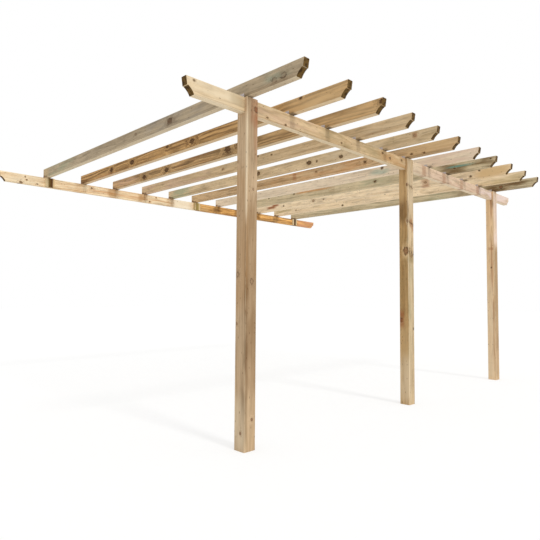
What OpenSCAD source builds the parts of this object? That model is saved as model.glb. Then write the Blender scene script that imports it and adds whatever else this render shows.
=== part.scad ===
// Lean-to pergola of planed softwood. Three forked posts carry a front beam, a plate on the wall
// carries the back, and a row of rafters with coved noses lies across both.
// The origin is on the wall face, at the middle of the wall plate. +Y points into the wall, +Z up.

/* [Layout] */
// Distance between the centres of neighbouring posts
post_spacing = 1900; // [1200:10:2400]
// Distance from the wall face to the centre line of the posts
post_setback = 3100; // [1500:10:4200]
// Height of the underside of the beam and the plate above the ground
headroom = 2035; // [1800:5:2600]
// Reach of the beam and the plate past the centres of the outer posts
side_overhang = 480; // [150:5:700]
// Reach of the rafters past the centre line of the posts
front_overhang = 500; // [150:5:800]
// Number of rafters, spread evenly from the left post to the right post
rafter_count = 11; // [5:2:15]

/* [Timber sections] */
// Width of the square posts
post_w = 90; // [75:1:150]
// Thickness of the front beam and the wall plate
beam_t = 45; // [35:1:60]
// Depth of the front beam and the wall plate
beam_d = 95; // [85:1:150]
// Thickness of the rafters
rafter_t = 45; // [35:1:60]
// Depth of the rafters
rafter_d = 95; // [85:1:150]
// Rounding of the long edges of the posts
post_edge_r = 5; // [1:0.5:10]
// Rounding of the long edges of the other timbers
edge_r = 3; // [1:0.5:8]

/* [Shaped ends] */
// Height of the nose above the cove
nose_h = 51; // [30:1:65]
// How far the nose leans out from its foot to its top
nose_rake = 8; // [0:0.5:15]
// Depth of the step between the nose and the cove
nose_step = 6; // [1:0.5:12]
// Length of the cove along the timber
cove_run = 42; // [25:1:80]
// Radius of the hollow of the cove
cove_r = 100; // [90:5:300]

/* [Post heads] */
// Clearance between the beam and each cheek of a post's fork
fork_clearance = 0.5; // [0:0.1:2]

/* [Plate blocks] */
// Width of the upright blocks on the wall plate
block_w = 90; // [60:1:150]
// Thickness of the upright blocks
block_t = 22; // [12:1:40]

/* [Angle brackets] */
// Length of each leg of a bracket
bracket_leg = 25; // [20:1:60]
// Width of a bracket
bracket_w = 34; // [20:1:60]
// Thickness of the bracket's steel
bracket_t = 2; // [1.5:0.5:4]
// Radius inside the bend of a bracket
bracket_bend_r = 2; // [1:0.5:5]

/* [Hidden] */
$fn = 48;
// How far a cutting shape runs past what it cuts
overcut = 1;

// Heights, counted from the middle of the wall plate
seat_z = beam_d / 2;
ground_z = -seat_z - headroom;
rafter_top_z = seat_z + rafter_d;

// Places along and across the frame
beam_y = -post_setback;
plate_y = -beam_t / 2;
half_length = post_spacing + side_overhang;
rafter_length = post_setback + front_overhang;
rafter_pitch = 2 * post_spacing / (rafter_count - 1);
middle_rafter = (rafter_count + 1) / 2;

// The rafters over the left and middle posts are flush with the left faces of those posts
function rafter_shift(i) = (i == 1 || i == middle_rafter) ? (rafter_t - post_w) / 2 : 0;
function rafter_x(i) = -post_spacing + (i - 1) * rafter_pitch + rafter_shift(i);

// Colours of the timbers, from fresh to weathered, and of the brackets
fresh_wood = [0.85, 0.70, 0.50];
tan_wood = [0.74, 0.58, 0.40];
warm_wood = [0.68, 0.48, 0.29];
grey_wood = [0.58, 0.53, 0.42];
rafter_tones = [grey_wood, warm_wood, warm_wood, fresh_wood, tan_wood];
zinc_grey = [0.68, 0.69, 0.70];

function numbered(name, i) = str(name, "_", i < 10 ? "0" : "", i);
function numbered_all(name) = [for (i = [1:rafter_count]) numbered(name, i)];

// Cross-section of a planed timber with eased edges, centred
module eased_section(w, h, r) {
    square([w - 2 * r, h], center = true);
    square([w, h - 2 * r], center = true);
    for (x = [-1, 1], y = [-1, 1])
        translate([x * (w / 2 - r), y * (h / 2 - r)])
            circle(r);
}

// Side view of what is cut away in front of the nose, whose top is at x = 0, y = 0, and below it
module cove_cut(depth) {
    rise = depth - nose_h;
    chord = norm([cove_run, rise]);
    outward = [-rise, -cove_run] / chord;
    foot = [nose_rake, -nose_h];
    middle = foot + [nose_step + cove_run / 2, -rise / 2];
    intersection() {
        translate(middle + outward * sqrt(cove_r * cove_r - chord * chord / 4))
            circle(cove_r);
        translate([-cove_r, -nose_h - 2 * cove_r])
            square(2 * cove_r);
    }
    polygon([
        -foot * overcut / nose_h, foot, foot - [0, overcut],
        [-overcut, -nose_h - overcut], [-overcut, overcut]
    ]);
}

// Timber along +X with a coved nose at x = 0, a square end at the other end and its top at z = 0
module coved_timber(length, thickness, depth) {
    difference() {
        rotate([90, 0, 90])
            linear_extrude(length)
                translate([0, -depth / 2])
                    eased_section(thickness, depth, edge_r);
        rotate([90, 0, 0])
            linear_extrude(thickness + 2 * overcut, center = true)
                cove_cut(depth);
    }
}

// Square post with a fork in its head, open along X, that houses the beam
module post(x) {
    fork_w = beam_t + 2 * fork_clearance;
    color(tan_wood)
        translate([x, beam_y, 0])
            difference() {
                translate([0, 0, ground_z])
                    linear_extrude(seat_z - ground_z)
                        eased_section(post_w, post_w, post_edge_r);
                translate([-post_w / 2 - overcut, -fork_w / 2, seat_z - beam_d])
                    cube([post_w + 2 * overcut, fork_w, beam_d + overcut]);
            }
}

// Left half of the beam or the plate: coved at its outer end and butted square at x = 0
module left_half(y, tone) {
    color(tone)
        translate([-half_length, y, seat_z])
            coved_timber(half_length, beam_t, beam_d);
}

module right_half(y, tone) {
    mirror([1, 0, 0])
        left_half(y, tone);
}

// Upright block on the face of the wall plate, in line with a post
module plate_block(x) {
    color(warm_wood)
        translate([x - block_w / 2, -beam_t - block_t, seat_z - beam_d])
            cube([block_w, block_t, beam_d]);
}

// Rafter from its coved nose in front to its square end on the wall face
module rafter(i) {
    color(rafter_tones[(i - 1) % len(rafter_tones)])
        translate([rafter_x(i), -rafter_length, rafter_top_z])
            rotate([0, 0, 90])
                coved_timber(rafter_length, rafter_t, rafter_d);
}

// Bent steel angle: its outer corner is at the origin, one leg runs along -X and one up
module bracket_profile() {
    bend_r = bracket_bend_r + bracket_t;
    flat = bracket_leg - bend_r;
    translate([-bracket_leg, 0])
        square([flat, bracket_t]);
    translate([-bracket_t, bend_r])
        square([bracket_t, flat]);
    intersection() {
        translate([-bend_r, bend_r])
            difference() {
                circle(bend_r);
                circle(bracket_bend_r);
            }
        translate([-bend_r, 0])
            square(bend_r);
    }
}

// Angle bracket in the corner between a rafter's left side and the timber that it rests on
module bracket(i, y) {
    color(zinc_grey)
        translate([rafter_x(i) - rafter_t / 2, y, seat_z])
            rotate([90, 0, 0])
                linear_extrude(bracket_w, center = true)
                    bracket_profile();
}

module left_post() post(-post_spacing);
module middle_post() post(0);
module right_post() post(post_spacing);
module front_beam_left() left_half(beam_y, fresh_wood);
module front_beam_right() right_half(beam_y, fresh_wood);
module wall_plate_left() left_half(plate_y, fresh_wood);
module wall_plate_right() right_half(plate_y, warm_wood);
module plate_block_left() plate_block(-post_spacing);
module plate_block_middle() plate_block(0);
module plate_block_right() plate_block(post_spacing);
module beam_bracket(i) bracket(i, beam_y);
module plate_bracket(i) bracket(i, plate_y);

left_post();
middle_post();
right_post();
front_beam_left();
front_beam_right();
wall_plate_left();
wall_plate_right();
plate_block_left();
plate_block_middle();
plate_block_right();
for (i = [1:rafter_count]) {
    rafter(i);
    beam_bracket(i);
    plate_bracket(i);
}
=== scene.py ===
# Lean-to pergola of treated softwood: the finish of its timbers and brackets, its screws, light and camera
import math

import bpy
from mathutils import Euler, Matrix, Vector


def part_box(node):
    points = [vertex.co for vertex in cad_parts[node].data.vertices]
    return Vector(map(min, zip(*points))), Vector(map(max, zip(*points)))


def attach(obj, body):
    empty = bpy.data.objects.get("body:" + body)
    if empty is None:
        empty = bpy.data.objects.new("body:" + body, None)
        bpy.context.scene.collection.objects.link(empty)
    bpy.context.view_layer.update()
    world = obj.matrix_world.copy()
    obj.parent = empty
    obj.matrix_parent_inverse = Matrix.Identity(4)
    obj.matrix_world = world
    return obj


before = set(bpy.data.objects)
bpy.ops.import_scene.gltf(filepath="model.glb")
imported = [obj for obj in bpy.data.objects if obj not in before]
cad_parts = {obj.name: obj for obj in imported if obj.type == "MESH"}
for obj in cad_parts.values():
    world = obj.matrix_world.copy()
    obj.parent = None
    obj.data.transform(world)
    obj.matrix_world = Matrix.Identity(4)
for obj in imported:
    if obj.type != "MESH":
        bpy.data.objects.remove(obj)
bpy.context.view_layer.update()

MM = 0.001
X, Y, Z = 0, 1, 2

# Camera, standing in front of the left post and to its left, in metres from the middle of the post's foot
CAMERA_FROM_POST = Vector((-2.078, -2.273, 0.918))
CAMERA_HEADING = 44.87  # degrees from +X towards +Y
CAMERA_PITCH = 2.97  # degrees up
CAMERA_ROLL = 0.4  # degrees
LENS_MM = 33.75
SENSOR_MM = 36.0

# Light: an even sky and a soft key from high in front
SKY_LEVEL = 0.8
SUN_STRENGTH = 1.0
SUN_ANGLE = 9.0  # degrees across
SUN_FROM = Vector((-0.05, -1.0, 1.05))  # where the key comes from, seen from the object
FLOOR_SIZE = 60.0
FLOOR_COLOUR = (0.82, 0.82, 0.81, 1.0)
FLOOR_LIFT = 0.19  # added to the floor where it is seen
FLOOR_WHITENING = 0.55  # how far the seen floor is drawn towards white


def srgb(red, green, blue):
    """A colour given in screen values from 0 to 255, as linear light."""
    def linear(value):
        value = value / 255
        return value / 12.92 if value <= 0.04045 else ((value + 0.055) / 1.055) ** 2.4
    return (linear(red), linear(green), linear(blue), 1.0)


class Graph:
    """A shader's node tree, with a short call for each kind of node that is used."""

    def __init__(self, owner):
        owner.use_nodes = True
        self.tree = owner.node_tree
        self.tree.nodes.clear()

    def feed(self, socket, value):
        if isinstance(value, bpy.types.NodeSocket):
            self.tree.links.new(value, socket)
        else:
            socket.default_value = value

    def node(self, kind, inputs, **settings):
        made = self.tree.nodes.new("ShaderNode" + kind)
        for key, value in settings.items():
            setattr(made, key, value)
        for key, value in inputs.items():
            self.feed(made.inputs[key], value)
        return made

    def math(self, operation, a, b=0.0):
        return self.node("Math", {0: a, 1: b}, operation=operation).outputs[0]

    def times(self, first, *others):
        for other in others:
            first = self.math("MULTIPLY", first, other)
        return first

    def scaled(self, value, factor, offset):
        """A value times a factor, plus an offset."""
        return self.math("ADD", self.times(value, factor), offset)

    def vector(self, operation, a, b=(0, 0, 0)):
        made = self.node("VectorMath", {0: a, 1: b}, operation=operation)
        return made.outputs["Value" if operation == "LENGTH" else "Vector"]

    def parts(self, vector):
        return self.node("SeparateXYZ", {0: vector}).outputs

    def noise(self, vector, scale, detail=2.0, output=0):
        """Noise stretched by a scale for each direction."""
        stretched = self.vector("MULTIPLY", vector, scale)
        made = self.node("TexNoise", {"Vector": stretched, "Scale": 1.0, "Detail": detail})
        return made.outputs[output]

    def smooth(self, value, low, high):
        """0 up to low and 1 from high on, or the other way round where high is the smaller."""
        ends = {"Value": value, "From Min": low, "From Max": high}
        return self.node("MapRange", ends, interpolation_type="SMOOTHSTEP").outputs["Result"]

    def mix(self, factor, a, b, blend="MIX"):
        made = self.node("Mix", {0: factor, 6: a, 7: b}, data_type="RGBA", blend_type=blend)
        return made.outputs[2]

    def ramp(self, value, stops):
        """A level that changes from one stop, a place and its level, to the next."""
        made = self.node("ValToRGB", {0: value})
        points = made.color_ramp.elements
        while len(points) < len(stops):
            points.new(1.0)
        for point, (place, level) in zip(points, stops):
            point.position = place
            point.color = (level, level, level, 1.0)
        return made.outputs[0]


# Wood

RING_SPACING = 7 * MM
RING_TAPER = 5 * MM  # how much the rings close in for each metre along the trunk
PITH_WANDER = 44 * MM
GRAIN_WAVE = 11 * MM
YEAR_STRENGTH = (0.8, 0.3)  # how much of a ring's strength changes with its year, and how much doesn't
KNOT_PUSH = 18 * MM  # how far a knot pushes the grain aside
KNOT_LEAN = 0.35  # how steeply a branch climbs along the trunk
KNOT_STRETCH = (0.75, 1.0, 1.0)
KNOT_ROUGHNESS = (1.4, 0.3)  # how the noise that roughens a knot is scaled and offset
HEART_EDGE = 10 * MM
PATCH_FADE = 80 * MM
PATCH_EDGE = 10 * MM
SEED_SHIFT = (7.3, 1.9, 3.1)  # how far apart two timbers are cut from the noises, in metres

# Scales of the noises: waves for each metre along the grain, across it and up it
GRAIN_SCALE = (2.6, 24, 24)
PITH_SCALE = (0.8, 0, 0)
BAND_SCALE = (0.7, 85, 30)  # the second is out from the pith
BLOTCH_SCALE = (1.6, 9, 9)
MOTTLE_SCALE = (7, 40, 40)
GRIT_SCALE = (30, 95, 95)
FIBRE_SCALE = (6, 240, 240)
FINE_SCALE = (24, 1300, 1300)
PATCHY_SCALE = (3.5, 22, 22)
FLECK_SCALE = (34, 95, 95)
CHECK_SCALE = (0.7, 55, 55)
CHECK_AREA_SCALE = (1.1, 6, 6)
KNOT_SCALE = (60, 90, 90)
KNOT_PATCH_SCALE = (22, 60, 60)
WEAR_SCALE = (14, 60, 60)
SOAK_SCALE = (55, 55, 55)

# Stops of the ramps, each a place in a ring or a noise and the level there
LATE_STOPS = [(0.0, 0.0), (0.35, 0.1), (0.8, 1.0), (0.93, 0.85), (1.0, 0.0)]
BLOTCH_STOPS = [(0.3, 0.8), (0.5, 1.0), (0.7, 1.08)]
MOTTLE_STOPS = [(0.28, 0.66), (0.48, 1.0), (0.72, 1.1)]
GRIT_STOPS = [(0.3, 0.9), (0.5, 1.0), (0.7, 1.05)]

# Zones of a knot in radii of its branch: where one starts and where it is full
KNOT_CORE_ZONE = (1.08, 0.85)
KNOT_HALO_ZONE = (2.6, 1.0)
KNOT_BEND_ZONE = (4.0, 0.6)
# Bands round a knot in radii of its branch: two limits and the softness of the edges
KNOT_RIM_BAND = (0.8, 1.12, 0.16)
KNOT_COLLAR_BAND = (1.3, 1.7, 0.2)
KNOT_RING_RATE = 14.0
RED_KNOT = 0.6  # a knot that is no darker than this has a red core

# How strongly the marks are laid over the wood
FIBRE_DARK_AMOUNT = 0.5
FIBRE_LIGHT_AMOUNT = 0.35
HEART_AMOUNT = 0.9
FLECK_AMOUNT = 0.6
KNOT_HALO_AMOUNT = 0.5
KNOT_COLLAR_AMOUNT = 0.5
KNOT_RING_AMOUNT = 0.4
KNOT_RIM_AMOUNT = 0.6
KNOT_RIM_DARKENING = 0.35  # added to the rim's amount on the darkest knots
END_RING_AMOUNT = 0.7

# Relief and gloss
FIBRE_HEIGHT = 0.5
FINE_HEIGHT = 0.35
LATE_HEIGHT = 0.2
CHECK_DEPTH = 2.0
BUMP_STRENGTH = 0.5
BUMP_DISTANCE = 0.6 * MM
FIBRE_ROUGHNESS = 0.2
WOOD_ROUGHNESS = 0.58
WOOD_GLOSS = 0.12

# Tones of knots, checks, end grain and stains, and of painted shade and shadow
KNOT_CORE = srgb(88, 58, 30)
KNOT_RED = srgb(124, 70, 38)
KNOT_RIM = srgb(58, 37, 18)
CRACK = srgb(66, 48, 34)
END_LIGHT = srgb(118, 90, 44)
END_DARK = srgb(68, 47, 19)
CREAM = srgb(240, 222, 190)
PALE_CREAM = srgb(252, 238, 212)
PALE_PINK = srgb(240, 220, 212)
PINK = srgb(226, 190, 172)
SALMON = srgb(228, 164, 128)
TAN = srgb(226, 192, 142)
ORANGE = srgb(206, 140, 78)
RUST = srgb(158, 92, 52)
TAWNY = srgb(152, 120, 84)
# the tone of the painted shadows of the rafters on the beam
RAFTER_SHADOW_TONE = srgb(164, 118, 88)
OCHRE = srgb(172, 122, 64)
BROWN = srgb(108, 78, 46)
BARK = srgb(88, 50, 14)
UMBER = srgb(124, 98, 48)
# the tone of the painted shade where the timbers touch
CONTACT_SHADE = srgb(66, 48, 28)
OLIVE = srgb(140, 122, 80)
MOSS = srgb(168, 146, 80)
GREEN = srgb(160, 172, 140)
TEAL = srgb(112, 160, 146)
BLUE_GREY = srgb(132, 140, 148)


class Knot:
    """A branch that comes out of a timber at a place, along a direction, with a radius and a darkness."""

    def __init__(self, place, direction, radius, darkness):
        self.place = Vector(place)
        self.branch = (Vector(direction) + Vector((KNOT_LEAN, 0, 0))).normalized()
        self.radius = radius
        self.darkness = darkness


class StainAndLight:
    """A patch of another tone on a timber, in a part of its height or thickness where one is given; some are
    stains and some are painted light and shade.

    It runs along the grain from start to end, and is broken up apart from the share of it that is solid.
    """

    def __init__(self, start, end, tone, amount, up=None, across=None, solid=0.0):
        self.start = start
        self.end = end
        self.tone = tone
        self.amount = amount
        self.up = up
        self.across = across
        self.solid = solid


class Look:
    """How one timber looks: its tones, its place in the trunk, its figure, knots, stains, painted light and
    shade, and checks.

    The pith is given across and up from the timber's middle.
    """

    def __init__(self, light, dark, pith, rings=0.45, figure=0.4, uneven=0.8, knots=(), stains_and_light=(), heart=None,
                 heart_radius=0.045, cracks=0.3, edges=0.6):
        self.light = srgb(*light)
        self.dark = srgb(*dark)
        self.pith = pith
        self.rings = rings
        self.figure = figure
        self.uneven = uneven
        self.knots = knots
        self.stains_and_light = stains_and_light
        self.heart = srgb(*heart) if heart else None
        self.heart_radius = heart_radius
        self.cracks = cracks
        self.edges = edges


def grain_space(g, node, axes):
    """Coordinates in a timber: metres from its low end along the grain, then across it from its middle."""
    low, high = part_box(node)
    start = (low + high) / 2
    start[axes[0]] = low[axes[0]]
    place = g.node("TexCoord", {}).outputs["Object"]
    local = g.parts(g.vector("SUBTRACT", place, start))
    return g.node("CombineXYZ", {slot: local[axis] for slot, axis in enumerate(axes)}).outputs[0]


def knot_distances(g, grain, look):
    """Distance from each branch in the wood, counted in radii of that branch and roughened."""
    if not look.knots:
        return []
    rough = g.scaled(g.noise(grain, KNOT_SCALE), *KNOT_ROUGHNESS)
    distances = []
    for knot in look.knots:
        offset = g.vector("SUBTRACT", grain, knot.place)
        beside = g.vector("SUBTRACT", offset, g.vector("PROJECT", offset, knot.branch))
        beside = g.vector("MULTIPLY", beside, KNOT_STRETCH)
        distances.append(g.times(g.vector("LENGTH", beside), 1 / knot.radius, rough))
    return distances


def grain_bend(g, drift, distances):
    """How far the grain is pushed aside: a little everywhere and more round the knots."""
    bend = g.times(g.noise(drift, GRAIN_SCALE, 3.0), GRAIN_WAVE)
    for distance in distances:
        bend = g.math("ADD", bend, g.times(g.smooth(distance, *KNOT_BEND_ZONE), KNOT_PUSH))
    return bend


def trunk_radius(g, grain, drift, look, bend):
    """Distance from the wandering pith, bent with the grain."""
    wander = g.vector("SUBTRACT", g.noise(drift, PITH_SCALE, output=1), (0.5, 0.5, 0.5))
    wander = g.vector("MULTIPLY", wander, (0, PITH_WANDER, PITH_WANDER))
    across = g.vector("SUBTRACT", grain, (0, look.pith[0], look.pith[1]))
    across = g.vector("MULTIPLY", g.vector("ADD", across, wander), (0, 1, 1))
    taper = g.times(g.parts(grain)[0], RING_TAPER)
    return g.math("ADD", g.vector("LENGTH", across), g.math("ADD", taper, bend))


def ring_lines(g, radius):
    """Dark late wood at the outer edge of each growth ring, stronger in some years than in others."""
    count = g.math("DIVIDE", radius, RING_SPACING)
    year = g.node("TexWhiteNoise", {"W": g.math("FLOOR", count)}, noise_dimensions="1D").outputs["Value"]
    late = g.ramp(g.math("FRACT", count), LATE_STOPS)
    return g.times(late, g.scaled(year, *YEAR_STRENGTH))


def plain_wood(g, look, drift, radius, late, fibres):
    """Clear wood: rings, broad bands that follow them, fibres, heartwood and uneven tones."""
    place = g.parts(drift)
    bands = g.node("CombineXYZ", {0: place[0], 1: radius, 2: place[2]}).outputs[0]
    bands = g.noise(bands, BAND_SCALE, 3.0)
    colour = g.mix(g.times(late, look.rings), look.light, look.dark)
    colour = g.mix(g.times(g.smooth(bands, 0.48, 0.68), look.figure), colour, look.dark)
    colour = g.mix(g.times(g.smooth(fibres, 0.52, 0.8), FIBRE_DARK_AMOUNT), colour, look.dark)
    colour = g.mix(g.times(g.smooth(fibres, 0.48, 0.2), FIBRE_LIGHT_AMOUNT), colour, look.light)
    if look.heart:
        heart = g.smooth(radius, look.heart_radius + HEART_EDGE, look.heart_radius)
        colour = g.mix(g.times(heart, HEART_AMOUNT), colour, look.heart, "MULTIPLY")
    blotch = g.ramp(g.noise(drift, BLOTCH_SCALE, 3.0), BLOTCH_STOPS)
    mottle = g.ramp(g.noise(drift, MOTTLE_SCALE, 4.0), MOTTLE_STOPS)
    grit = g.ramp(g.noise(drift, GRIT_SCALE), GRIT_STOPS)
    for shade in (blotch, mottle, grit):
        colour = g.mix(look.uneven, colour, shade, "MULTIPLY")
    return colour


def within(g, value, low, high, soft):
    """1 between two limits, with soft edges."""
    above = g.smooth(value, low - soft, low + soft)
    return g.times(above, g.smooth(value, high + soft, high - soft))


def paint_stains_and_light(g, colour, look, grain, drift):
    """Lays the stains and the painted light and shade over the wood one after the other."""
    along, across, up = g.parts(grain)
    patchy = g.smooth(g.noise(drift, PATCHY_SCALE, 4.0), 0.36, 0.62)
    for patch in look.stains_and_light:
        fade = min(PATCH_FADE, (patch.end - patch.start) / 4)
        cover = g.scaled(patchy, 1 - patch.solid, patch.solid)
        cover = g.times(cover, within(g, along, patch.start, patch.end, fade), patch.amount)
        for place, limits in ((across, patch.across), (up, patch.up)):
            if limits:
                edge = min(PATCH_EDGE, (limits[1] - limits[0]) / 2)
                cover = g.times(cover, within(g, place, *limits, edge))
        colour = g.mix(cover, colour, patch.tone)
    return colour


def paint_flecks(g, colour, drift):
    """Small resin flecks, scattered along the grain."""
    cells = g.node("TexVoronoi", {"Vector": g.vector("MULTIPLY", drift, FLECK_SCALE), "Scale": 1.0})
    chosen = g.smooth(g.parts(cells.outputs["Color"])[0], 0.9, 0.92)
    fleck = g.times(g.smooth(cells.outputs["Distance"], 0.34, 0.14), chosen, FLECK_AMOUNT)
    return g.mix(fleck, colour, KNOT_CORE)


def drying_checks(g, look, flow):
    """Fine cracks along the grain, in some places only."""
    lines = g.math("ABSOLUTE", g.math("SUBTRACT", g.noise(flow, CHECK_SCALE, 1.0), 0.5))
    where = g.smooth(g.noise(flow, CHECK_AREA_SCALE, 1.0), 0.58, 0.66)
    return g.times(g.smooth(lines, 0.022, 0.006), where, look.cracks)


def paint_knots(g, colour, look, drift, distances):
    """Ringed cores with broken dark rims, pale collars and a halo of darker wood round each."""
    if not distances:
        return colour
    patches = g.noise(drift, KNOT_PATCH_SCALE)
    ragged = g.smooth(patches, 0.32, 0.52)
    between = g.smooth(patches, 0.52, 0.36)
    for distance, knot in zip(distances, look.knots):
        darkness = knot.darkness
        halo = g.times(g.smooth(distance, *KNOT_HALO_ZONE), ragged, KNOT_HALO_AMOUNT)
        colour = g.mix(halo, colour, look.dark)
        collar = g.times(within(g, distance, *KNOT_COLLAR_BAND), between, KNOT_COLLAR_AMOUNT * darkness)
        colour = g.mix(collar, colour, look.light)
        rings = g.times(g.math("SINE", g.times(distance, KNOT_RING_RATE)), KNOT_RING_AMOUNT * darkness)
        core = g.times(g.smooth(distance, *KNOT_CORE_ZONE), g.math("ADD", rings, darkness))
        colour = g.mix(core, colour, KNOT_CORE if darkness > RED_KNOT else KNOT_RED)
        rim_amount = KNOT_RIM_AMOUNT + KNOT_RIM_DARKENING * darkness
        rim = g.times(within(g, distance, *KNOT_RIM_BAND), ragged, rim_amount)
        colour = g.mix(rim, colour, KNOT_RIM)
    return colour


def paint_arris_wear_and_highlight(g, colour, look, drift, facing, axes):
    """Pale edges along the timber: partly wear, partly a painted highlight on the eased arrises."""
    along, across, up = [facing[axis] for axis in axes]
    eased = g.smooth(g.math("MAXIMUM", across, up), 0.985, 0.8)
    wear_and_highlight = g.smooth(g.noise(drift, WEAR_SCALE, 3.0), 0.25, 0.55)
    arris = g.times(eased, g.smooth(along, 0.3, 0.1), wear_and_highlight, look.edges)
    return g.mix(arris, colour, CREAM)


def paint_ends(g, colour, drift, late, facing_along):
    """Dark, soaked end grain with its rings."""
    sawn = g.smooth(facing_along, 0.15, 0.6)
    soaked = g.smooth(g.noise(drift, SOAK_SCALE, 3.0), 0.4, 0.62)
    darkened = g.math("MAXIMUM", soaked, g.times(late, END_RING_AMOUNT))
    return g.mix(sawn, colour, g.mix(darkened, END_LIGHT, END_DARK))


def relief(g, fibres, fine, late, check):
    """Bump from the fibres and the rings, with the checks cut into it."""
    height = g.math("ADD", g.times(fibres, FIBRE_HEIGHT), g.times(fine, FINE_HEIGHT))
    height = g.math("ADD", height, g.times(late, LATE_HEIGHT))
    height = g.math("SUBTRACT", height, g.times(check, CHECK_DEPTH))
    bump = {"Height": height, "Strength": BUMP_STRENGTH, "Distance": BUMP_DISTANCE}
    return g.node("Bump", bump).outputs[0]


def wood(node, axes, look, seed):
    """Softwood with growth rings round a pith, fibres, flecks, knots, stains, painted light and shade, checks
    and dark end grain.
    """
    material = bpy.data.materials.new("wood_" + node)
    g = Graph(material)
    grain = grain_space(g, node, axes)
    drift = g.vector("ADD", grain, tuple(seed * shift for shift in SEED_SHIFT))
    distances = knot_distances(g, grain, look)
    bend = grain_bend(g, drift, distances)
    radius = trunk_radius(g, grain, drift, look, bend)
    flow = g.vector("ADD", drift, g.node("CombineXYZ", {1: bend, 2: bend}).outputs[0])

    late = ring_lines(g, radius)
    fibres = g.noise(flow, FIBRE_SCALE, 4.0)
    fine = g.noise(flow, FINE_SCALE)
    check = drying_checks(g, look, flow)
    colour = plain_wood(g, look, drift, radius, late, fibres)
    colour = paint_stains_and_light(g, colour, look, grain, drift)
    colour = paint_flecks(g, colour, drift)
    colour = g.mix(check, colour, CRACK)
    colour = paint_knots(g, colour, look, drift, distances)
    facing = g.parts(g.vector("ABSOLUTE", g.node("NewGeometry", {}).outputs["Normal"]))
    colour = paint_arris_wear_and_highlight(g, colour, look, drift, facing, axes)
    colour = paint_ends(g, colour, drift, late, facing[axes[0]])

    surface = {
        "Base Color": colour,
        "Roughness": g.scaled(fibres, FIBRE_ROUGHNESS, WOOD_ROUGHNESS),
        "Normal": relief(g, fibres, fine, late, check),
        "Specular IOR Level": WOOD_GLOSS,
    }
    shader = g.node("BsdfPrincipled", surface)
    g.node("OutputMaterial", {"Surface": shader.outputs[0]})
    return material


# Looks of the timbers

RAFTER_SIDE = -22.5 * MM
BEAM_FACE = -22.5 * MM
POST_FACE = -45 * MM
POST_TOP = 2.13
BEAM_LENGTH = 2.38
RAFTER_LENGTH = 3.6
LOW_EDGE = (-0.06, -0.03)  # the lower part of a rafter, a beam or a plate, in its height
UNDERSIDE = (-0.0505, -0.0465)
BEAM_LOW_LINE = (-0.044, -0.038)  # just above the lower edge of the face
LEFT_SIDE = (-0.06, -0.03)  # the left face of a post, in its thickness
FRONT_SIDE = (-0.07, -0.04)  # the front face of a post, in its depth


def side_knot(along, up, radius, darkness=0.85):
    """A knot on a rafter's left side, along from its front tip."""
    return Knot((along, RAFTER_SIDE, up), (0, -1, 0), radius, darkness)


def face_knot(along, up, radius, darkness=0.7):
    """A knot on the face of the beam or the plate, along from its left end."""
    return Knot((along, BEAM_FACE, up), (0, -1, 0), radius, darkness)


def left_knot(down, depth, radius, darkness=0.8):
    """A knot on a post's left side, down from its top."""
    return Knot((POST_TOP - down, POST_FACE, depth), (0, -1, 0), radius, darkness)


def front_knot(down, across, radius, darkness=0.8):
    """A knot on a post's front, down from its top."""
    return Knot((POST_TOP - down, across, POST_FACE), (0, 0, -1), radius, darkness)


def bands(places, width, tone, amount, solid):
    """Painted shadow bands of one width across a timber, each along from its left end."""
    return [StainAndLight(place, place + width, tone, amount, solid=solid) for place in places]


# Painted shade on the lower part of a rafter where it rests on the beam and on the plate
BEARING_SHADE = [
    StainAndLight(0.44, 0.5, CONTACT_SHADE, 0.85, up=(-0.07, -0.038), solid=0.8),
    StainAndLight(3.5, 3.57, BARK, 0.8, up=(-0.07, -0.032), solid=0.6),
]

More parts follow.
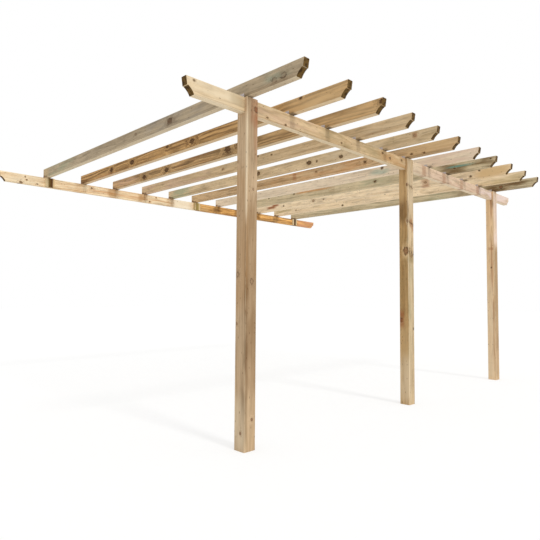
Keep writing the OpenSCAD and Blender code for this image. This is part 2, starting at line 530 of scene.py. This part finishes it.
# The rafters, from left to right
RAFTER_LOOKS = [
    Look((188, 169, 140), (140, 122, 96), (0.05, 0.02), figure=0.35,
         knots=[side_knot(0.155, -0.01, 0.016, 0.2), side_knot(0.225, -0.018, 0.015, 0.15),
                side_knot(1.285, 0.0, 0.022, 0.65), side_knot(1.755, 0.008, 0.009, 0.3)],
         stains_and_light=[StainAndLight(0.1, 0.3, TEAL, 0.3, up=(-0.02, 0.04)), StainAndLight(0.0, 0.2, BROWN, 0.15),
                 StainAndLight(0.12, 0.55, BROWN, 0.7, up=LOW_EDGE, solid=0.4), StainAndLight(0.9, 1.6, BLUE_GREY, 0.2),
                 StainAndLight(1.18, 1.34, BROWN, 0.45, up=(-0.04, 0.02)),
                 StainAndLight(2.9, 3.6, GREEN, 0.4), StainAndLight(3.48, 3.65, TAN, 0.4, solid=0.8)]),
    Look((216, 172, 114), (98, 62, 28), (0.13, -0.03), rings=0.85, figure=0.65,
         knots=[side_knot(0.38, 0.035, 0.008), side_knot(1.56, 0.0, 0.021, 0.85),
                side_knot(1.92, 0.03, 0.012), side_knot(2.51, 0.002, 0.021, 0.85),
                side_knot(2.91, -0.004, 0.017, 0.8)],
         stains_and_light=[StainAndLight(0.0, 0.5, TAN, 0.75, solid=0.6), StainAndLight(0.6, 1.1, TAN, 0.3),
                 StainAndLight(2.55, 3.25, RUST, 0.45, up=LOW_EDGE)]),
    Look((214, 176, 124), (90, 63, 34), (0.12, 0.03), rings=0.85, figure=0.65,
         knots=[side_knot(0.008, 0.02, 0.014), side_knot(1.56, 0.013, 0.025, 0.9),
                side_knot(2.5, -0.002, 0.022, 0.9), side_knot(2.92, -0.008, 0.021, 0.9)],
         stains_and_light=[StainAndLight(0.0, 0.5, TAN, 0.35, solid=0.1), StainAndLight(0.75, 1.25, BROWN, 0.25),
                 StainAndLight(1.8, 2.3, RUST, 0.2), StainAndLight(3.05, 3.6, PINK, 0.3)]),
    Look((222, 195, 154), (172, 140, 98), (0.1, 0.03),
         knots=[side_knot(1.4, 0.015, 0.007), side_knot(1.58, 0.036, 0.009),
                side_knot(2.08, 0.0, 0.009, 0.6)],
         stains_and_light=[StainAndLight(0.0, 0.4, CREAM, 0.2), StainAndLight(0.0, 0.42, TAWNY, 0.7, up=(-0.038, -0.024), solid=0.4),
                 StainAndLight(0.75, 1.15, TAWNY, 0.8, up=(-0.038, -0.024), solid=0.4),
                 StainAndLight(1.9, 2.4, TAWNY, 0.6, up=LOW_EDGE), StainAndLight(2.3, 3.6, PINK, 0.3)]),
    Look((226, 201, 162), (174, 146, 104), (0.08, -0.04),
         knots=[side_knot(0.187, 0.01, 0.011, 0.35), side_knot(0.91, -0.02, 0.014),
                side_knot(1.185, -0.01, 0.008), side_knot(1.28, -0.006, 0.018, 0.9),
                side_knot(1.97, 0.005, 0.02, 0.9)],
         stains_and_light=[StainAndLight(0.0, 0.5, OLIVE, 0.2), StainAndLight(0.5, 1.1, CREAM, 0.4), StainAndLight(1.3, 2.2, TAWNY, 0.2),
                 StainAndLight(0.17, 0.21, RUST, 0.7, up=(-0.01, 0.035), solid=0.6),
                 StainAndLight(3.15, 3.58, GREEN, 0.65)]),
    Look((216, 184, 142), (158, 120, 76), (0.06, 0.0), rings=0.5, figure=0.5,
         knots=[side_knot(0.3, -0.03, 0.007), side_knot(0.42, -0.02, 0.008), side_knot(0.9, 0.0, 0.01),
                side_knot(1.49, 0.01, 0.008, 0.5)],
         stains_and_light=[StainAndLight(0.0, 0.5, TAN, 0.6, solid=0.3), StainAndLight(0.05, 0.55, BROWN, 0.5, up=LOW_EDGE),
                 StainAndLight(0.85, 2.1, ORANGE, 0.3), StainAndLight(1.76, 1.81, RUST, 0.8, up=(-0.035, 0.035), solid=0.5),
                 StainAndLight(3.44, 3.54, TAN, 0.5, solid=0.7)]),
    Look((242, 223, 195), (204, 181, 152), (0.09, 0.02), rings=0.35, figure=0.3, uneven=0.6,
         knots=[side_knot(0.97, 0.03, 0.012)],
         stains_and_light=[StainAndLight(0.0, 0.6, PINK, 0.35), StainAndLight(0.9, 1.1, TEAL, 0.5, up=(-0.03, 0.025))]),
    Look((222, 203, 166), (160, 143, 108), (0.06, 0.03), figure=0.5,
         knots=[side_knot(0.05, 0.03, 0.007), side_knot(0.395, -0.003, 0.008), side_knot(1.3, 0.01, 0.012),
                side_knot(2.5, 0.035, 0.009), side_knot(2.95, 0.04, 0.008)],
         stains_and_light=[StainAndLight(0.05, 0.5, OLIVE, 0.75), StainAndLight(0.0, 0.55, BROWN, 0.6),
                 StainAndLight(0.22, 0.46, TEAL, 0.9, up=(0.004, 0.022), solid=0.5), StainAndLight(1.1, 1.5, GREEN, 0.3),
                 StainAndLight(1.86, 1.94, TAWNY, 0.6, up=(-0.02, 0.04)),
                 StainAndLight(1.92, 2.45, ORANGE, 0.75, up=(0.025, 0.06), solid=0.5)]),
    Look((254, 232, 197), (208, 177, 136), (0.08, -0.01),
         knots=[side_knot(0.31, 0.03, 0.008), side_knot(0.4, -0.015, 0.009),
                side_knot(0.905, 0.0, 0.012, 0.5), side_knot(1.13, 0.02, 0.012),
                side_knot(2.33, 0.0, 0.007), side_knot(2.5, 0.005, 0.014, 0.5),
                side_knot(3.04, 0.0, 0.009)],
         stains_and_light=[StainAndLight(0.0, 0.35, TAN, 1.0, solid=0.6), StainAndLight(0.86, 0.95, RUST, 0.7, solid=0.4),
                 StainAndLight(3.14, 3.26, RUST, 0.95, up=(0.012, 0.042), solid=0.8),
                 StainAndLight(3.2, 3.36, RUST, 0.95, up=(-0.014, 0.02), solid=0.8)]),
    Look((252, 229, 193), (206, 176, 133), (0.1, 0.0),
         knots=[side_knot(1.65, 0.035, 0.008), side_knot(2.31, -0.03, 0.011), side_knot(2.41, 0.035, 0.008),
                side_knot(3.15, 0.0, 0.008, 0.6)],
         stains_and_light=[StainAndLight(0.0, 0.5, MOSS, 0.4), StainAndLight(3.25, 3.6, MOSS, 0.7, up=(-0.01, 0.06), solid=0.3)]),
    Look((220, 202, 166), (152, 137, 104), (0.07, 0.02), rings=0.5,
         knots=[side_knot(0.38, -0.008, 0.016, 0.6)],
         stains_and_light=[StainAndLight(0.0, 0.6, OLIVE, 0.7, up=(-0.06, 0.025)),
                 StainAndLight(0.1, 0.56, BROWN, 0.8, up=(-0.06, 0.03), solid=0.2),
                 StainAndLight(0.62, 0.95, BROWN, 0.6), StainAndLight(0.9, 1.3, GREEN, 0.4),
                 StainAndLight(1.2, 3.4, OLIVE, 0.45, up=(-0.06, -0.025), solid=0.2)]),
]
# Painted light: these rafters get a paler underside, which stands in for light from below
PAINTED_LIT_UNDERSIDES = 3  # how many rafters, counted from the left, have a pale underside
for look in RAFTER_LOOKS[:PAINTED_LIT_UNDERSIDES]:
    look.stains_and_light.append(StainAndLight(0.0, RAFTER_LENGTH, CREAM, 0.65, up=UNDERSIDE, solid=0.8))

LEFT_POST_LOOK = Look(
    (206, 178, 143), (163, 134, 102), (0.04, 0.05), rings=0.5, figure=0.5, uneven=0.45, edges=0.35,
    knots=[front_knot(0.065, 0.03, 0.014, 0.6), front_knot(0.562, 0.01, 0.005, 0.4),
           front_knot(1.124, 0.005, 0.012, 0.1), front_knot(1.946, 0.015, 0.007, 0.55),
           left_knot(0.39, 0.035, 0.005, 0.5), left_knot(1.083, 0.025, 0.012, 0.1),
           left_knot(1.379, 0.03, 0.006, 0.5), left_knot(2.023, -0.01, 0.006, 0.55)],
    stains_and_light=[StainAndLight(1.75, POST_TOP, RUST, 0.5, across=(0.012, 0.06), solid=0.3),
            StainAndLight(1.97, POST_TOP, RUST, 0.55, across=(-0.015, 0.06), up=FRONT_SIDE, solid=0.3),
            StainAndLight(0.0, 0.3, CREAM, 0.45, across=LEFT_SIDE, solid=0.4),
            StainAndLight(0.0, 0.35, TAN, 0.3, up=FRONT_SIDE, solid=0.4),
            StainAndLight(0.35, 1.5, TAWNY, 0.85, up=FRONT_SIDE, solid=0.6),
            StainAndLight(0.5, 1.0, BROWN, 0.22, up=FRONT_SIDE, solid=0.6),
            StainAndLight(0.85, 1.7, OCHRE, 0.35, across=LEFT_SIDE, solid=0.6),
            StainAndLight(0.05, 1.0, BROWN, 0.7, across=(-0.05, -0.024), up=FRONT_SIDE, solid=0.4),
            StainAndLight(0.2, 0.9, BROWN, 0.5, up=(-0.05, -0.016), across=LEFT_SIDE, solid=0.2),
            # paler along the front left arris: partly wear, partly a painted highlight
            StainAndLight(1.4, 2.02, CREAM, 0.9, across=(-0.06, -0.037), up=(-0.06, -0.036), solid=0.7),
            StainAndLight(0.75, 1.35, BROWN, 0.45, up=(-0.044, -0.034), across=LEFT_SIDE, solid=0.4)])
MIDDLE_POST_LOOK = Look(
    (222, 198, 160), (162, 129, 86), (-0.06, 0.01), rings=0.6, figure=0.5, edges=0.8,
    heart=(224, 203, 168), heart_radius=0.06,
    knots=[left_knot(0.81, -0.02, 0.024, 0.6), left_knot(0.23, -0.036, 0.009, 0.6),
           left_knot(0.55, -0.036, 0.009, 0.6), left_knot(1.41, 0.03, 0.014, 0.6),
           front_knot(0.858, 0.0, 0.008, 0.5), front_knot(1.485, 0.03, 0.009)],
    stains_and_light=[StainAndLight(1.57, 1.76, BROWN, 0.7, across=LEFT_SIDE, solid=0.4),
            StainAndLight(1.76, POST_TOP, TAN, 0.4, across=LEFT_SIDE, solid=0.3),
            StainAndLight(0.3, 1.5, OLIVE, 0.3, across=LEFT_SIDE),
            StainAndLight(0.0, 0.7, TAN, 0.4, across=LEFT_SIDE, solid=0.5),
            StainAndLight(0.0, 0.4, CREAM, 0.45, across=LEFT_SIDE, solid=0.6),
            StainAndLight(1.26, 1.38, TAN, 0.75, up=(-0.05, 0.014), across=LEFT_SIDE, solid=0.9),
            StainAndLight(0.66, 0.8, RUST, 0.7, up=(0.0, 0.06), across=LEFT_SIDE, solid=0.2),
            StainAndLight(1.53, 1.6, RUST, 0.85, across=(-0.02, 0.02), up=FRONT_SIDE, solid=0.6),
            StainAndLight(1.49, 1.56, RUST, 0.85, across=(0.01, 0.06), up=FRONT_SIDE, solid=0.6),
            StainAndLight(1.22, 1.3, OLIVE, 0.7, up=FRONT_SIDE, solid=0.3),
            # the cream at the top of the front face is painted light over the rafters' shadow there
            StainAndLight(1.7, POST_TOP, CREAM, 0.4, up=FRONT_SIDE), StainAndLight(0.4, 1.2, GREEN, 0.25, up=FRONT_SIDE)])
RIGHT_POST_LOOK = Look(
    (238, 206, 164), (198, 160, 118), (0.05, -0.02), rings=0.4, figure=0.25, uneven=0.5, cracks=0.2,
    edges=0.8,
    knots=[left_knot(0.87, -0.01, 0.007)],
    # painted shade at the top of the front part of the left face, beside the beam
    stains_and_light=[StainAndLight(1.95, POST_TOP, BROWN, 0.7, up=(-0.06, -0.01), across=LEFT_SIDE),
            StainAndLight(1.82, 2.05, RUST, 0.85, up=(-0.02, -0.009), across=LEFT_SIDE, solid=0.7),
            StainAndLight(1.0, 1.56, RUST, 0.85, up=(-0.02, -0.009), across=LEFT_SIDE, solid=0.7),
            StainAndLight(0.15, 0.9, RUST, 0.6, up=(-0.03, -0.02), across=LEFT_SIDE, solid=0.2),
            StainAndLight(1.46, 1.49, RUST, 0.7, up=(-0.03, 0.02), across=LEFT_SIDE, solid=0.5),
            StainAndLight(0.0, 1.1, CREAM, 0.4, up=(-0.02, 0.06), across=LEFT_SIDE, solid=0.6),
            StainAndLight(1.5, POST_TOP, PALE_PINK, 0.7, up=FRONT_SIDE, solid=0.4),
            StainAndLight(0.3, 1.5, TAWNY, 0.85, up=FRONT_SIDE, solid=0.7),
            StainAndLight(0.0, 0.3, TAWNY, 0.55, up=FRONT_SIDE, solid=0.6)])

# Painted light on the pale underside of the front beam, and a darker line of painted shade along its lower
# arris
BEAM_UNDERSIDE_LIGHT_AND_SHADE = [
    StainAndLight(0.0, BEAM_LENGTH, CREAM, 0.85, up=UNDERSIDE, solid=0.8),
    StainAndLight(0.0, BEAM_LENGTH, TAWNY, 0.5, up=BEAM_LOW_LINE, solid=0.3),
]
# Painted shadows of the rafters on the face of the beam's right half
BEAM_RAFTER_SHADOWS = bands((0.25, 0.65, 1.04, 1.44), 0.07, RAFTER_SHADOW_TONE, 0.6, 0.75)
BEAM_LEFT_LOOK = Look(
    (224, 197, 156), (172, 138, 92), (0.09, 0.01), figure=0.5,
    knots=[face_knot(0.055, 0.033, 0.006), face_knot(0.63, -0.03, 0.006), face_knot(0.8, -0.035, 0.006),
           face_knot(1.41, -0.02, 0.007), face_knot(1.97, 0.02, 0.009), face_knot(2.08, 0.0, 0.01),
           face_knot(2.27, 0.02, 0.01)],
    stains_and_light=[StainAndLight(0.0, 0.4, CREAM, 0.8, solid=0.4), StainAndLight(0.32, 0.42, OLIVE, 0.3),
            StainAndLight(0.5, 1.1, PINK, 0.25), StainAndLight(1.2, BEAM_LENGTH, OLIVE, 0.45),
            StainAndLight(1.95, 2.35, ORANGE, 0.35), *BEAM_UNDERSIDE_LIGHT_AND_SHADE])
BEAM_RIGHT_LOOK = Look(
    (227, 204, 176), (184, 151, 119), (0.1, -0.02), figure=0.4,
    knots=[face_knot(0.62, -0.01, 0.006)],
    stains_and_light=[StainAndLight(0.0, 0.35, CREAM, 0.4), StainAndLight(0.3, BEAM_LENGTH, PINK, 0.3),
            StainAndLight(1.45, 1.9, RUST, 0.4, up=LOW_EDGE),
            StainAndLight(1.5, 2.4, PALE_PINK, 0.75), *BEAM_UNDERSIDE_LIGHT_AND_SHADE, *BEAM_RAFTER_SHADOWS])
PLATE_LEFT_LOOK = Look(
    (255, 234, 196), (204, 154, 100), (0.08, 0.01), rings=0.5, figure=0.55,
    knots=[face_knot(0.2, -0.04, 0.011), face_knot(0.24, 0.025, 0.006), face_knot(0.255, -0.005, 0.006),
           face_knot(0.36, -0.03, 0.007), face_knot(0.94, 0.02, 0.009), face_knot(1.77, 0.03, 0.006),
           face_knot(1.68, -0.03, 0.008)],
    stains_and_light=[StainAndLight(0.0, 0.4, CREAM, 0.6), StainAndLight(0.9, 0.98, RUST, 0.6, up=(-0.02, 0.04)),
            StainAndLight(0.6, 1.9, ORANGE, 0.6, up=(-0.014, 0.004), solid=0.2),
            StainAndLight(2.0, 2.3, PALE_CREAM, 0.95, solid=0.8),
            # painted shadows of the rafters on the plate's face
            *bands((0.75, 1.14, 1.53, 1.93), 0.1, OCHRE, 0.65, 0.4)])
PLATE_RIGHT_LOOK = Look(
    (255, 198, 120), (134, 80, 36), (0.07, 0.0), rings=0.8, figure=0.6,
    stains_and_light=[StainAndLight(0.0, BEAM_LENGTH, BROWN, 0.7, up=LOW_EDGE),
            StainAndLight(0.0, BEAM_LENGTH, BROWN, 0.6, up=(0.034, 0.06)),
            StainAndLight(0.0, 0.2, TAN, 0.4), StainAndLight(0.36, 0.6, OCHRE, 0.5),
            StainAndLight(1.45, 1.75, TAN, 0.3), StainAndLight(1.98, 2.4, SALMON, 0.7, solid=0.3),
            # painted shadows of the rafters on the plate's face
            *bands((0.29, 0.66, 1.04, 1.43), 0.1, BROWN, 0.65, 0.2)])


def block_look(*parts):
    """A short cream block with parts in other tones, each between two limits across it."""
    stains_and_light = [StainAndLight(-0.1, 0.2, tone, 1.0, across=limits, solid=0.9) for tone, limits in parts]
    return Look((238, 216, 172), (176, 140, 92), (0.0, 0.06), rings=0.6, stains_and_light=stains_and_light)


LEFT_BLOCK_LOOK = block_look((UMBER, (-0.018, 0.014)), (BARK, (0.002, 0.032)), (TAN, (0.032, 0.06)))
MIDDLE_BLOCK_LOOK = block_look((MOSS, (-0.06, -0.044)), (MOSS, (-0.024, 0.022)))
RIGHT_BLOCK_LOOK = block_look((BARK, (-0.02, 0.02)))

# Axes of the timbers: along the grain, across it and up it
UPRIGHT = (Z, X, Y)
LEFT_TO_RIGHT = (X, Y, Z)
FRONT_TO_BACK = (Y, X, Z)

LOOKS = {
    "left_post": (UPRIGHT, LEFT_POST_LOOK),
    "middle_post": (UPRIGHT, MIDDLE_POST_LOOK),
    "right_post": (UPRIGHT, RIGHT_POST_LOOK),
    "front_beam_left": (LEFT_TO_RIGHT, BEAM_LEFT_LOOK),
    "front_beam_right": (LEFT_TO_RIGHT, BEAM_RIGHT_LOOK),
    "wall_plate_left": (LEFT_TO_RIGHT, PLATE_LEFT_LOOK),
    "wall_plate_right": (LEFT_TO_RIGHT, PLATE_RIGHT_LOOK),
    "plate_block_left": (UPRIGHT, LEFT_BLOCK_LOOK),
    "plate_block_middle": (UPRIGHT, MIDDLE_BLOCK_LOOK),
    "plate_block_right": (UPRIGHT, RIGHT_BLOCK_LOOK),
}
for number, look in enumerate(RAFTER_LOOKS, 1):
    look.stains_and_light = look.stains_and_light + BEARING_SHADE
    LOOKS["rafter_%02d" % number] = (FRONT_TO_BACK, look)


def dress(node, material):
    """Gives a CAD node its only material."""
    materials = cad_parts[node].data.materials
    materials.clear()
    materials.append(material)


for seed, (node, (axes, look)) in enumerate(LOOKS.items(), 1):
    dress(node, wood(node, axes, look, seed))


# Brackets and screws

SPANGLE_SCALE = 240.0
DIRT_SCALE = (90, 90, 90)
SPANGLE_AMOUNT = 0.5
DIRT_AMOUNT = 0.6
SPANGLE_ROUGHNESS = 0.2
ZINC_ROUGHNESS = 0.42
ZINC_METAL = 0.6


def zinc(name, bright, dull):
    """Galvanised sheet steel with its spangle, dulled by weather."""
    material = bpy.data.materials.new(name)
    g = Graph(material)
    place = g.node("TexCoord", {}).outputs["Object"]
    spangle = g.node("TexVoronoi", {"Vector": place, "Scale": SPANGLE_SCALE}).outputs["Color"]
    cell = g.parts(spangle)[0]
    dirt = g.smooth(g.noise(place, DIRT_SCALE, 4.0), 0.42, 0.66)
    colour = g.mix(g.times(cell, SPANGLE_AMOUNT), srgb(*bright), srgb(*dull))
    colour = g.mix(g.times(dirt, DIRT_AMOUNT), colour, srgb(*dull))
    roughness = g.scaled(cell, SPANGLE_ROUGHNESS, ZINC_ROUGHNESS)
    shader = g.node("BsdfPrincipled", {"Base Color": colour, "Roughness": roughness, "Metallic": ZINC_METAL})
    g.node("OutputMaterial", {"Surface": shader.outputs[0]})
    return material


SCREW_RADIUS = 4.2 * MM
SCREW_HEIGHT = 1.7 * MM
SCREW_RECESS = 0.9 * MM
SCREW_STEPS = 16
SCREW_DOME = ((1.0, -0.1), (1.0, 0.25), (0.86, 0.7), (0.62, 0.97))  # shares of the radius and of the height
SCREW_CROSS = (0.52, 0.3, 0.17, 0.3)  # a quarter of the recess's outline, in shares of the radius
RECESS_TAPER = 0.8
SCREW_PITCH = 18 * MM  # between the two screws of a leg
LEG_SHARE = 0.62  # how far out along a leg its screws sit
BRACKET_SHEET = 2 * MM


def screw_head(place, axis):
    """Points and faces of a domed head with a cross recess, standing on a point along an axis."""
    turn = axis.to_track_quat("Z", "X").to_matrix()
    cross = [SCREW_CROSS[step % len(SCREW_CROSS)] for step in range(SCREW_STEPS)]
    rings = [([share] * SCREW_STEPS, rise) for share, rise in SCREW_DOME]
    rings.append((cross, 1.0))
    rings.append(([share * RECESS_TAPER for share in cross], 1.0 - SCREW_RECESS / SCREW_HEIGHT))
    points = []
    for radii, rise in rings:
        for step, share in enumerate(radii):
            turned = 2 * math.pi * step / SCREW_STEPS
            flat = SCREW_RADIUS * share
            local = Vector((flat * math.cos(turned), flat * math.sin(turned), rise * SCREW_HEIGHT))
            points.append(place + turn @ local)
    faces = []
    for ring in range(len(rings) - 1):
        for step in range(SCREW_STEPS):
            first = ring * SCREW_STEPS + step
            second = ring * SCREW_STEPS + (step + 1) % SCREW_STEPS
            faces.append((first, second, second + SCREW_STEPS, first + SCREW_STEPS))
    last = (len(rings) - 1) * SCREW_STEPS
    faces.append(tuple(range(last, last + SCREW_STEPS)))
    return points, faces


def bracket_screws(node):
    """Places and directions of a bracket's four screws: two in the flat leg and two in the upright leg."""
    low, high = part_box(node)
    middle = (low.y + high.y) / 2
    for side in (-0.5, 0.5):
        y = middle + side * SCREW_PITCH
        yield Vector((high.x + (low.x - high.x) * LEG_SHARE, y, low.z + BRACKET_SHEET)), Vector((0, 0, 1))
        yield Vector((high.x - BRACKET_SHEET, y, low.z + (high.z - low.z) * LEG_SHARE)), Vector((-1, 0, 0))


def make_screws(name, brackets, material):
    """All the screws of a row of brackets, in one mesh."""
    points, faces = [], []
    for node in brackets:
        for place, axis in bracket_screws(node):
            head_points, head_faces = screw_head(place, axis)
            start = len(points)
            points += head_points
            faces += [tuple(start + index for index in face) for face in head_faces]
    mesh = bpy.data.meshes.new(name)
    mesh.from_pydata(points, [], faces)
    mesh.materials.append(material)
    screws = bpy.data.objects.new(name, mesh)
    bpy.context.scene.collection.objects.link(screws)
    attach(screws, "root")


bright_zinc = zinc("bright_zinc", (206, 196, 194), (166, 154, 148))
# The brackets on the plate get a darker, brown copy of the zinc
dull_zinc = zinc("dull_zinc", (156, 118, 78), (116, 82, 48))
for place, material in (("beam", bright_zinc), ("plate", dull_zinc)):
    brackets = [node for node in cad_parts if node.startswith(place + "_bracket")]
    for node in brackets:
        dress(node, material)
    make_screws(place + "_screws", brackets, material)


# Stage

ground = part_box("left_post")[0].z


def seen_directly(g):
    """1 where the camera sees a surface straight, in a mirror or through glass."""
    rays = g.node("LightPath", {}).outputs
    mirrored = g.math("MAXIMUM", rays["Is Glossy Ray"], rays["Is Transmission Ray"])
    return g.math("MAXIMUM", rays["Is Camera Ray"], mirrored)


def make_floor():
    """A pale floor that keeps the shadow and is drawn towards white where it is seen."""
    mesh = bpy.data.meshes.new("floor")
    half = FLOOR_SIZE / 2
    corners = [(-half, -half, ground), (half, -half, ground), (half, half, ground), (-half, half, ground)]
    mesh.from_pydata(corners, [], [(0, 1, 2, 3)])
    floor = bpy.data.objects.new("floor", mesh)
    bpy.context.scene.collection.objects.link(floor)
    material = bpy.data.materials.new("floor")
    g = Graph(material)
    seen = seen_directly(g)
    diffuse = g.node("BsdfDiffuse", {"Color": FLOOR_COLOUR}).outputs[0]
    lift = g.node("Emission", {"Strength": g.times(seen, FLOOR_LIFT)}).outputs[0]
    lit = g.node("AddShader", {0: diffuse, 1: lift}).outputs[0]
    white = g.node("Emission", {"Strength": 1.0}).outputs[0]
    whitening = g.times(seen, FLOOR_WHITENING)
    whitened = g.node("MixShader", {0: whitening, 1: lit, 2: white}).outputs[0]
    g.node("OutputMaterial", {"Surface": whitened})
    mesh.materials.append(material)


def make_world():
    """An even white sky, at its own level for light and at full white where it is seen."""
    world = bpy.data.worlds.new("studio")
    bpy.context.scene.world = world
    g = Graph(world)
    level = g.scaled(seen_directly(g), 1.0 - SKY_LEVEL, SKY_LEVEL)
    sky = g.node("Background", {"Color": (1.0, 1.0, 1.0, 1.0), "Strength": level}).outputs[0]
    g.node("OutputWorld", {"Surface": sky})


def make_sun():
    """The soft key light."""
    light = bpy.data.lights.new("sun", "SUN")
    light.energy = SUN_STRENGTH
    light.angle = math.radians(SUN_ANGLE)
    sun = bpy.data.objects.new("sun", light)
    sun.rotation_euler = SUN_FROM.to_track_quat("Z", "Y").to_euler()
    bpy.context.scene.collection.objects.link(sun)


def make_camera():
    """The photograph's viewpoint, measured from the foot of the left post."""
    low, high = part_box("left_post")
    foot = (low + high) / 2
    foot.z = ground
    data = bpy.data.cameras.new("camera")
    data.sensor_fit = "HORIZONTAL"
    data.sensor_width = SENSOR_MM
    data.lens = LENS_MM
    camera = bpy.data.objects.new("camera", data)
    tilt = Euler((math.radians(90 + CAMERA_PITCH), 0, math.radians(CAMERA_HEADING - 90))).to_matrix()
    turn = tilt @ Matrix.Rotation(math.radians(CAMERA_ROLL), 3, "Z")
    camera.matrix_world = Matrix.Translation(foot + CAMERA_FROM_POST) @ turn.to_4x4()
    bpy.context.scene.collection.objects.link(camera)
    bpy.context.scene.camera = camera


make_floor()
make_world()
make_sun()
make_camera()
bpy.context.scene.view_settings.view_transform = "Standard"
